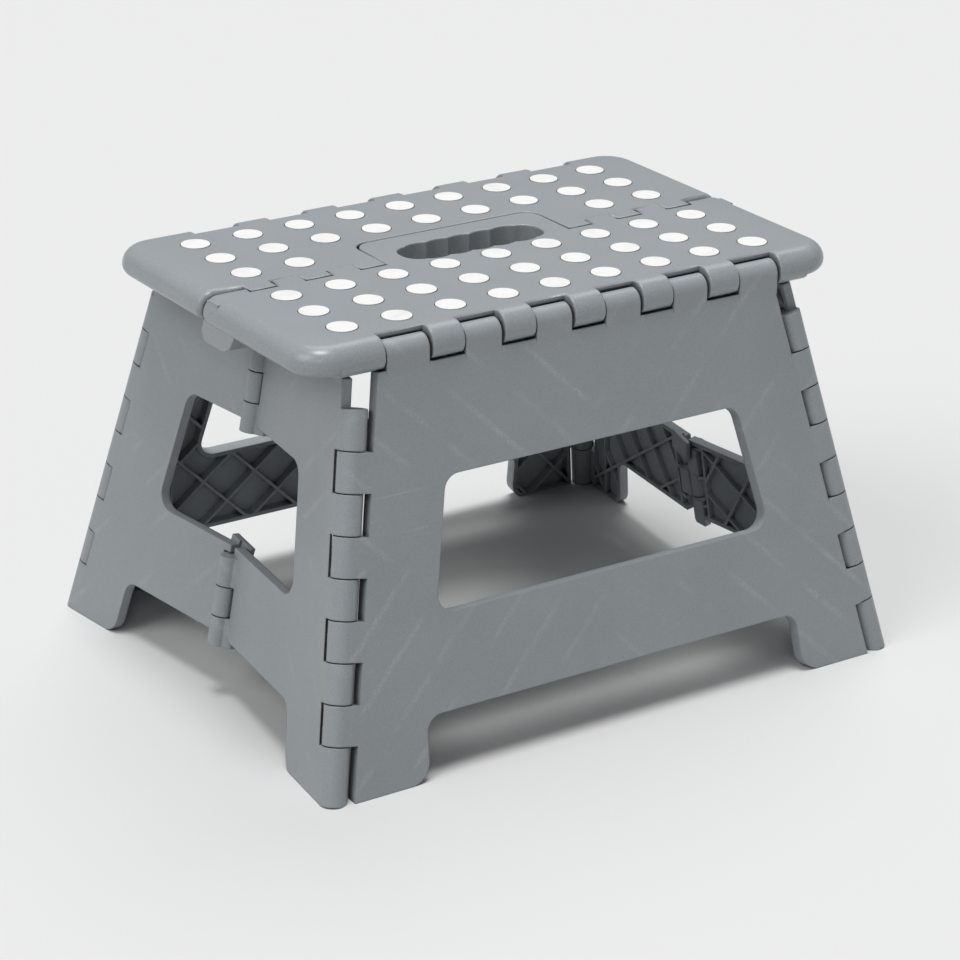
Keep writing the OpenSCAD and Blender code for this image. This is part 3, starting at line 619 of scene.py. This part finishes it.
# %% [markdown]
# ## Soft studio light
# In the studio a large soft box hangs straight over the stool, so its shadow stays under
# the top, and the sloping legs stand in quiet shade. Two weaker boxes, high at the rear
# right and at the left, keep the shadow darkest at the rear right and lift the left end.
# Suns with a wide angle give the same evenness over the whole floor, where small lamps
# would leave pools of light. The plain world fills the shadows.

# %% Hang the lights
WORLD_TINT = (0.97, 0.98, 1.0)
WORLD_STRENGTH = 0.257


def soft_sun(name, toward, strength, angle):
    """A sun in the direction given, as wide in degrees as the angle says."""
    data = bpy.data.lights.new(name, "SUN")
    data.energy = strength
    data.angle = math.radians(angle)
    lamp = bpy.data.objects.new(name, data)
    lamp.rotation_euler = Vector(toward).to_track_quat("Z", "Y").to_euler()
    bpy.context.scene.collection.objects.link(lamp)
    return lamp


lights = [
    soft_sun("overhead_soft_box", (-0.02, -0.03, 1.0), 2.04, 22),
    soft_sun("rear_right_soft_box", (0.40, 0.45, 0.80), 0.68, 36),
    soft_sun("left_soft_box", (-0.74, -0.06, 0.67), 1.04, 36),
    soft_sun("small_front_lamp", (-0.45, -0.70, 0.55), 0.16, 8),
]
world = bpy.data.worlds.new("studio")
bpy.context.scene.world = world
world.use_nodes = True
sky = world.node_tree.nodes["Background"]
sky.inputs["Color"].default_value = tone(*WORLD_TINT)
sky.inputs["Strength"].default_value = WORLD_STRENGTH
bpy.context.scene.view_settings.view_transform = "Standard"
print("lights:", [lamp.name for lamp in lights])

# %% [markdown]
# ## The camera
# A long lens from above the front left corner shows the top, the front leg and the left
# end. The camera's place, its turn round the stool, its height angle and its slight roll
# are written as plain numbers, and its three axes are built from them.

# %% Set the camera
CAMERA_AT = Vector((-0.88805, -1.36150, 0.75993))
CAMERA_TURN = math.radians(-33.2526)
CAMERA_RISE = math.radians(22.5233)
CAMERA_ROLL = math.radians(0.532)
LENS_PIXELS = 3266.18
IMAGE_PIXELS = 960
SENSOR_WIDTH = 36.0
SIGHT_END = 50.0


def aim_camera():
    back = Vector((math.sin(CAMERA_TURN) * math.cos(CAMERA_RISE),
                   -math.cos(CAMERA_TURN) * math.cos(CAMERA_RISE), math.sin(CAMERA_RISE)))
    level = Vector((0, 0, 1)).cross(back).normalized()
    up = back.cross(level)
    right = level * math.cos(CAMERA_ROLL) + up * math.sin(CAMERA_ROLL)
    head = up * math.cos(CAMERA_ROLL) - level * math.sin(CAMERA_ROLL)
    data = bpy.data.cameras.new("camera")
    data.sensor_width = SENSOR_WIDTH
    data.lens = data.sensor_width * LENS_PIXELS / IMAGE_PIXELS
    data.clip_end = SIGHT_END
    camera = bpy.data.objects.new("camera", data)
    turn = Matrix((right, head, back)).transposed()
    camera.matrix_world = Matrix.Translation(CAMERA_AT) @ turn.to_4x4()
    bpy.context.scene.collection.objects.link(camera)
    bpy.context.scene.camera = camera
    return camera


camera = aim_camera()
print("lens", round(camera.data.lens, 2), "mm")

# %% [markdown]
